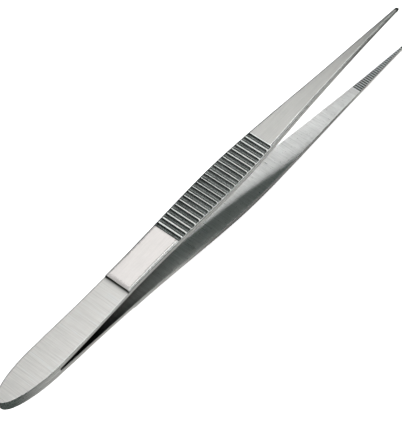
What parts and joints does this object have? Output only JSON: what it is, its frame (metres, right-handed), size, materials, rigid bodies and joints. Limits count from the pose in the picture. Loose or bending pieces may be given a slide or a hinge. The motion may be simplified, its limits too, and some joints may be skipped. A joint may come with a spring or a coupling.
{
  "type": "precision tweezers",
  "caption": "Fine-pointed stainless tweezers with two sprung arms joined at a rounded heel, cross-grooved grips, tapering shanks and serrated jaws.",
  "frame": {"origin": "centre of the bounding box in plan, at its lowest height", "axes": "+X from the heel to the tips, +Y across the arms, +Z along the opening direction from the lower arm to the upper arm; the middle plane between the arms is horizontal"},
  "size_m": [0.125, 0.0082, 0.0129],
  "materials": {
    "satin_steel": "satin, brushed across the leaf",
    "grip_steel": "satin, brushed along the arm, with milled cross grooves",
    "shank_steel": "satin, ground along the taper",
    "jaw_steel": "fine cut serrations",
    "weld_steel": "ground flush"
  },
  "bodies": {
    "heel": {"heel_weld": "weld_steel", "upper_heel_plate": "satin_steel", "upper_spring_leaf_root": "satin_steel", "lower_heel_plate": "satin_steel", "lower_spring_leaf_root": "satin_steel"},
    "upper_arm": {"upper_spring_leaf_end": "satin_steel", "upper_grip": "grip_steel", "upper_shank": "shank_steel", "upper_jaw": "jaw_steel"},
    "lower_arm": {"lower_spring_leaf_end": "satin_steel", "lower_grip": "grip_steel", "lower_shank": "shank_steel", "lower_jaw": "jaw_steel"}
  },
  "joints": [
    {"name": "upper_arm_flex", "type": "hinge", "parent": "heel", "child": "upper_arm", "pos_m": [-0.0377, 0, 0.00742], "axis": [0, 1, 0], "range_deg": [0, 3.23], "stiffness_Nm_per_rad": 3.68},
    {"name": "lower_arm_flex", "type": "hinge", "parent": "heel", "child": "lower_arm", "pos_m": [-0.0377, 0, 0.0055], "axis": [0, -1, 0], "range_deg": [0, 3.23], "stiffness_Nm_per_rad": 3.68}
  ]
}
